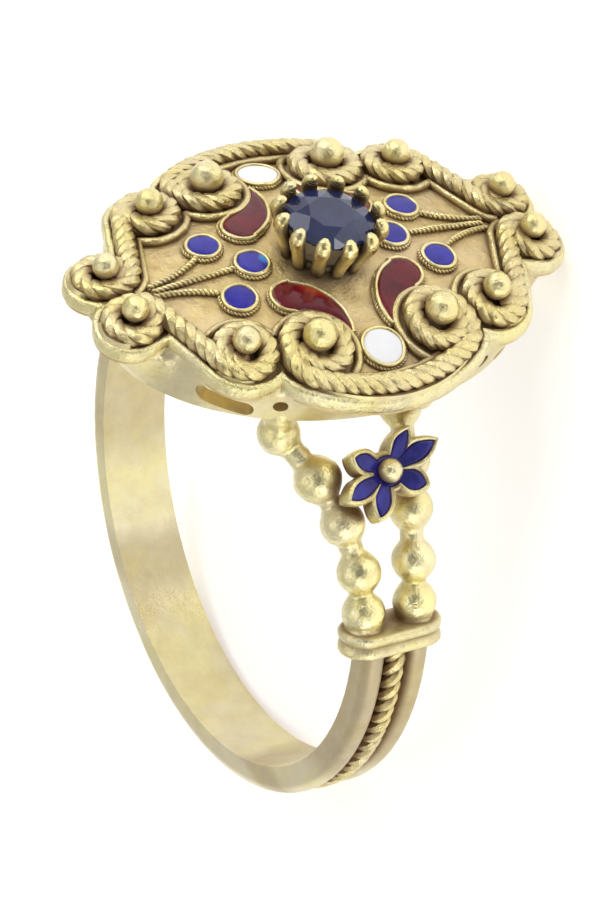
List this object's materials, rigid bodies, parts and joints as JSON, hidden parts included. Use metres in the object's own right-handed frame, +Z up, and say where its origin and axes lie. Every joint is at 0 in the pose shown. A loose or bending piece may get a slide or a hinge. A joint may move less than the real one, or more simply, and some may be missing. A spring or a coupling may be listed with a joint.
{
  "type": "sapphire ring",
  "caption": "Gold finger ring lying on its side: a domed, lobed plaque with wire scrolls, enamel cells and a claw-set round sapphire on beaded shoulders.",
  "frame": {"origin": "centre of the footprint, on the surface that the ring lies on", "axes": "+Z up from that surface; the plaque and its stone face +X and a little up; Y runs across the finger, the front shoulder towards -Y"},
  "size_m": [0.0232, 0.0196, 0.0163],
  "materials": {
    "gold": "satin pale yellow gold, brown in the recesses",
    "sapphire": "polished dark blue stone",
    "blue_enamel": "glossy opaque enamel",
    "red_enamel": "glossy translucent enamel",
    "white_enamel": "glossy opaque enamel"
  },
  "bodies": {
    "root": {"hoop_band": "gold", "hoop_rope": "gold", "collar_front": "gold", "collar_back": "gold", "bead_strand_front_left": "gold", "bead_strand_front_right": "gold", "bead_strand_back_left": "gold", "bead_strand_back_right": "gold", "flower_front": "gold", "flower_back": "gold", "gallery": "gold", "plaque": "gold", "lobe_scroll_back": "gold", "lobe_scroll_front": "gold", "scroll_back_left": "gold", "scroll_back_right": "gold", "scroll_front_left": "gold", "scroll_front_right": "gold", "grain_1": "gold", "grain_2": "gold", "grain_3": "gold", "grain_4": "gold", "grain_5": "gold", "grain_6": "gold", "grain_7": "gold", "grain_8": "gold", "grain_9": "gold", "grain_10": "gold", "grain_11": "gold", "grain_12": "gold", "claw_setting": "gold", "flower_enamel_front": "blue_enamel", "flower_enamel_back": "blue_enamel", "blue_enamel_1": "blue_enamel", "blue_enamel_2": "blue_enamel", "blue_enamel_3": "blue_enamel", "blue_enamel_4": "blue_enamel", "blue_enamel_5": "blue_enamel", "blue_enamel_6": "blue_enamel", "red_enamel_1": "red_enamel", "red_enamel_2": "red_enamel", "red_enamel_3": "red_enamel", "red_enamel_4": "red_enamel", "white_enamel_back": "white_enamel", "white_enamel_front": "white_enamel", "sapphire": "sapphire"}
  },
  "joints": []
}
